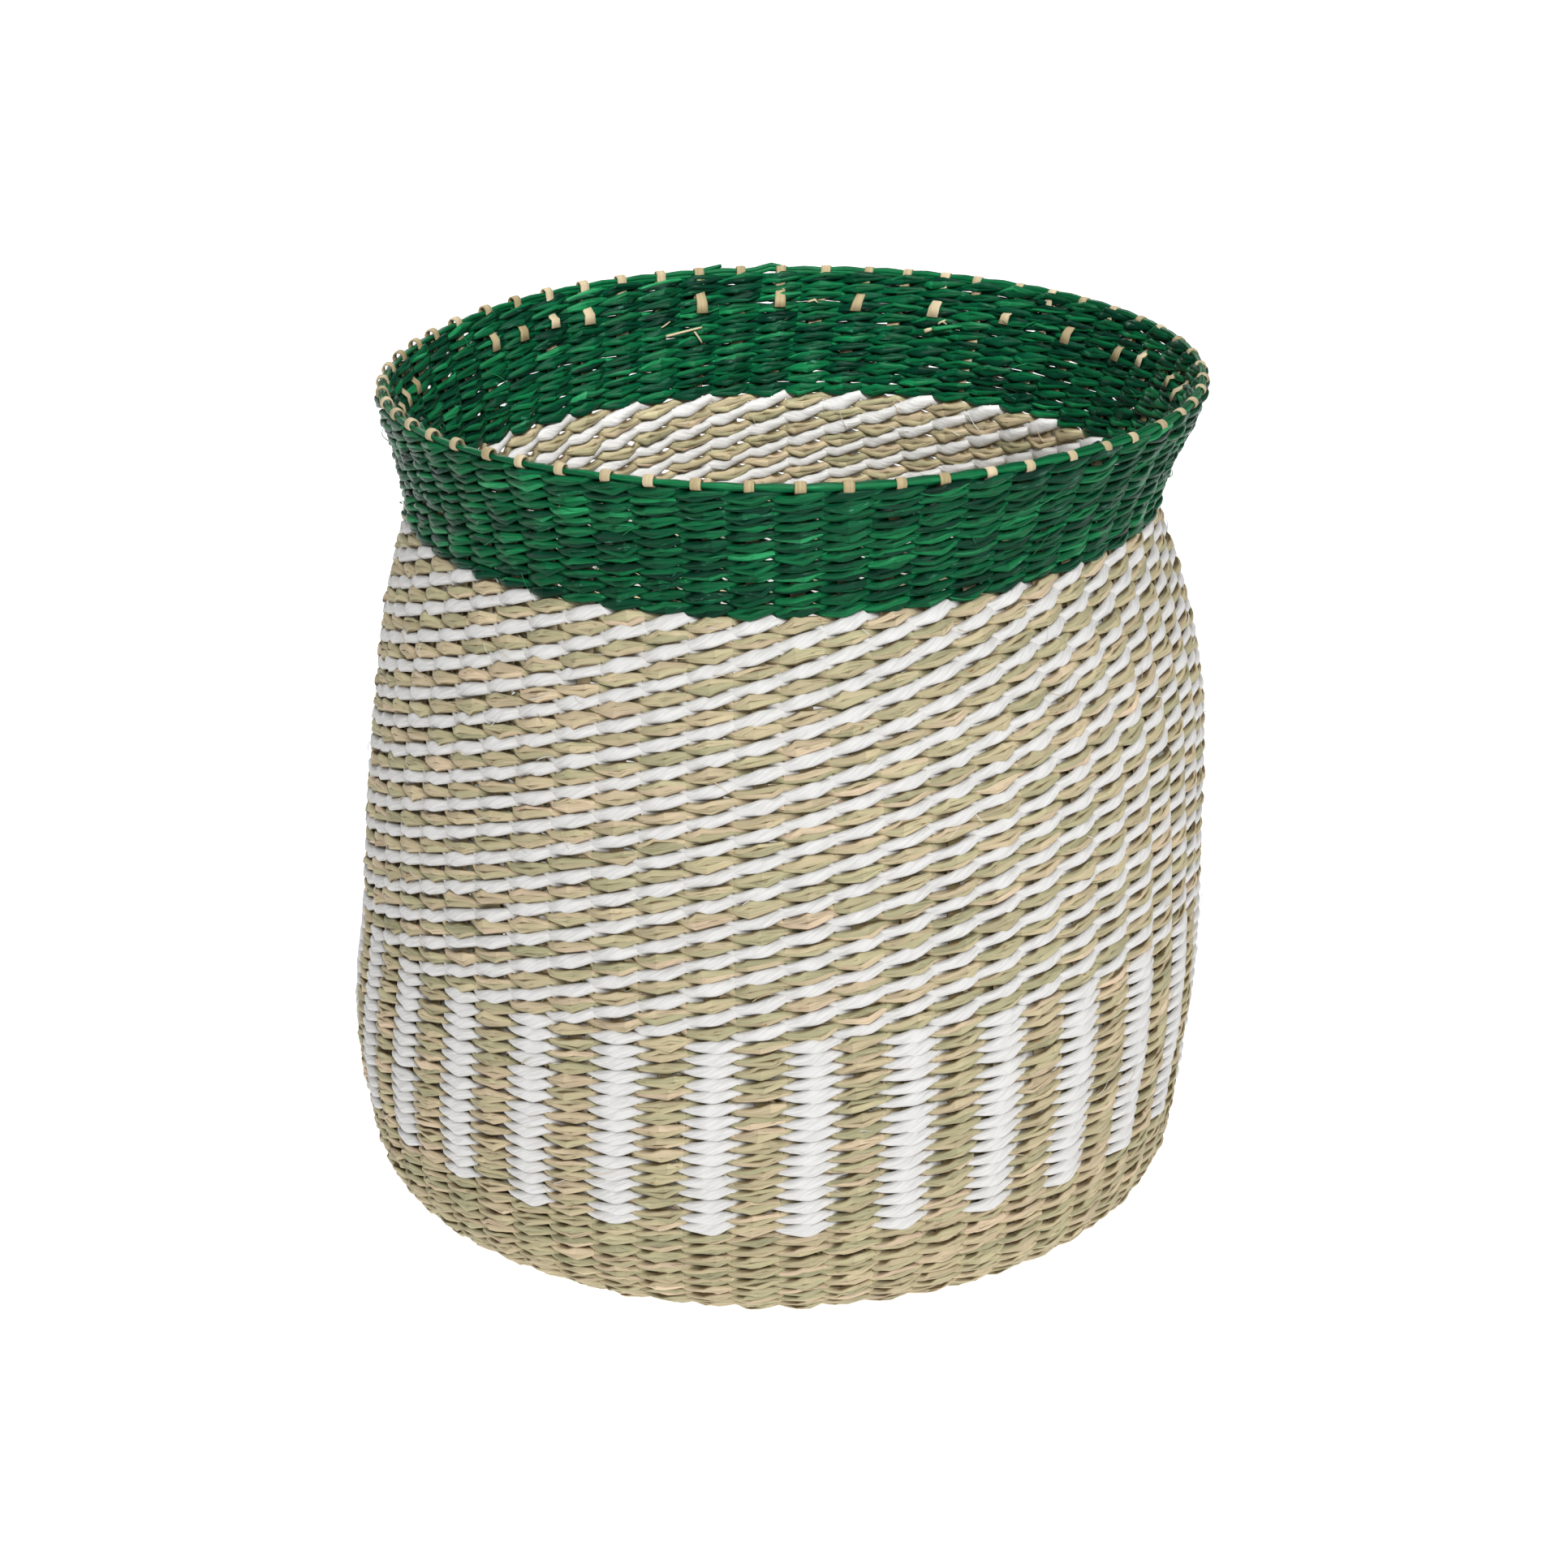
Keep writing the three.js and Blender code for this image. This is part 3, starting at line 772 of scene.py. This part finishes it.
def long_stake(name, number, turn, over):
    """A stake that crosses the middle of the base and gives two ends."""
    spread = number * 2 * STEP
    far = upright(turn + spread)
    near = upright(turn + np.pi - spread)
    cos, sin = np.cos(turn), np.sin(turn)
    lateral = number * CROSS_PITCH
    run = np.linspace(CROSS_HALF, -CROSS_HALF, 43)
    lift = CROSS_LIFT * over * np.cos(np.pi * run / CROSS_PITCH) * (-1) ** number
    inside = np.stack([lateral + 0 * run, run, MIDDLE + lift], axis=-1)
    crossing = inside @ np.array([[cos, sin, 0], [-sin, cos, 0], [0, 0, 1]])
    across = np.broadcast_to([cos, sin, 0], crossing.shape)
    level = np.broadcast_to([0, 0, 1.0], crossing.shape)
    centre = np.concatenate([near[0][::-1], crossing, far[0]])
    side = np.concatenate([-near[1][::-1], across, far[1]])
    face = np.concatenate([near[2][::-1], level, far[2]])
    for join in (len(near[0]), len(near[0]) + len(crossing)):
        window = slice(join - 2, join + 2)
        side[window] = side[window].mean(axis=0)
    batch = Batch()
    strip(batch, centre, side, face, random.uniform(*STAKE_WIDTH))
    batch.build(name, STAKE, "seagrass", name)


per_set = STAKE_ENDS // 8
for i in range(per_set):
    number = i - per_set // 2
    long_stake(f"stake_long_{i + 1:02d}", number, STEP / 2, 1)
    long_stake(f"stake_long_{i + 1 + per_set:02d}", number, STEP / 2 + np.pi / 2, -1)
# Straw-coloured odds and ends inside the back, in three places: (angle from the back, distance below the
# rim, length, slope, width)
ODD_ENDS = [
    (0.385, 27, 18, LEFTWARD - 0.14, 1.4), (0.3, 26, 7, LEFTWARD + 0.9, 1.0),
    (0.4, 23, 5, LEFTWARD - 0.5, 0.8),
    (-0.025, 15, 4, LEFTWARD - 0.3, 1.2), (-0.04, 13.5, 3, LEFTWARD + 0.7, 0.8),
    (-0.385, 26, 4, LEFTWARD - 0.4, 2.2), (-0.42, 22, 4, LEFTWARD - 0.6, 1.0),
    (-0.43, 20.5, 3, LEFTWARD + 0.4, 0.9),
]
BACK_STAKE = STAKE_ENDS // 4 - 1
for i in range(STAKE_ENDS // 2):
    batch = Batch()
    centre, side, face = upright((2 * i + 1.5) * STEP)
    strip(batch, centre, side, face, random.uniform(*STAKE_WIDTH))
    if i == BACK_STAKE:
        for turn, below, size, slope, width in ODD_ENDS:
            start, depth = TOP - below, WALL + 1.2
            loose_strip(batch, np.pi + turn, start, size, slope, width, depth, lift=0.6, tone=1.0, blunt=0.7)
    batch.build(f"stake_side_{i + 1:02d}", STAKE, "seagrass", f"stake_side_{i + 1:02d}")

# --- stage, lights and camera ---


def floor():
    mesh = bpy.data.meshes.new("floor")
    half = 9.0
    corners = [(-half, -half, 0), (half, -half, 0), (half, half, 0), (-half, half, 0)]
    mesh.from_pydata(corners, [], [(0, 1, 2, 3)])
    piece = bpy.data.objects.new("floor", mesh)
    bpy.context.scene.collection.objects.link(piece)
    g = Graph("floor_white", (0.4, 0.4, 0.4, 1), 0.9, Specular_IOR_Level=0.0)
    g.shader.inputs["Emission Color"].default_value = (1, 1, 1, 1)
    g.shader.inputs["Emission Strength"].default_value = 0.93
    mesh.materials.append(g.material)


def area_light(name, place, target, size, power):
    data = bpy.data.lights.new(name, "AREA")
    data.shape, data.size, data.energy = "DISK", size, power
    lamp = bpy.data.objects.new(name, data)
    bpy.context.scene.collection.objects.link(lamp)
    aim(lamp, place, target)


def inside_light():
    """A narrow lamp over the opening that lights the inside but not the floor round the basket."""
    data = bpy.data.lights.new("inside", "SPOT")
    data.energy, data.shadow_soft_size = 55, 0.08
    data.spot_size, data.spot_blend = np.radians(15), 0.7
    lamp = bpy.data.objects.new("inside", data)
    bpy.context.scene.collection.objects.link(lamp)
    aim(lamp, (0, -0.95, 1.15), (0, 0.16, 0.27))


def aim(thing, place, target):
    thing.location = place
    thing.rotation_mode = "QUATERNION"
    thing.rotation_quaternion = (Vector(target) - Vector(place)).to_track_quat("-Z", "Y")


def sky(strength):
    """A dim white surrounding that the camera sees as plain white."""
    world = bpy.data.worlds.new("studio")
    world.use_nodes = True
    tree = world.node_tree
    light = tree.nodes["Background"]
    light.inputs["Color"].default_value = (1, 1, 1, 1)
    seen = tree.nodes.new("ShaderNodeLightPath").outputs["Is Camera Ray"]
    power = tree.nodes.new("ShaderNodeMath")
    power.operation = "MULTIPLY_ADD"
    power.inputs[1].default_value, power.inputs[2].default_value = 1 - strength, strength
    tree.links.new(seen, power.inputs[0])
    tree.links.new(power.outputs[0], light.inputs["Strength"])
    bpy.context.scene.world = world


def camera():
    data = bpy.data.cameras.new("camera")
    data.sensor_width = 36.0
    data.lens = 93.3
    data.shift_y = -0.0112
    data.clip_start, data.clip_end = 0.05, 50
    thing = bpy.data.objects.new("camera", data)
    bpy.context.scene.collection.objects.link(thing)
    shift = 0.0008
    aim(thing, (shift, -1.577, 0.791), (shift, 0, 0.1886))
    bpy.context.scene.camera = thing


floor()
middle = (0, 0, 0.2)
area_light("key", (0.65, -2.15, 2.1), middle, 1.4, 44)
area_light("back", (-0.5, 2.3, 1.8), middle, 1.4, 24)
area_light("top", (0.0, -0.2, 2.4), middle, 1.2, 24)
inside_light()
sky(0.22)
bpy.context.scene.view_settings.view_transform = "Standard"
camera()
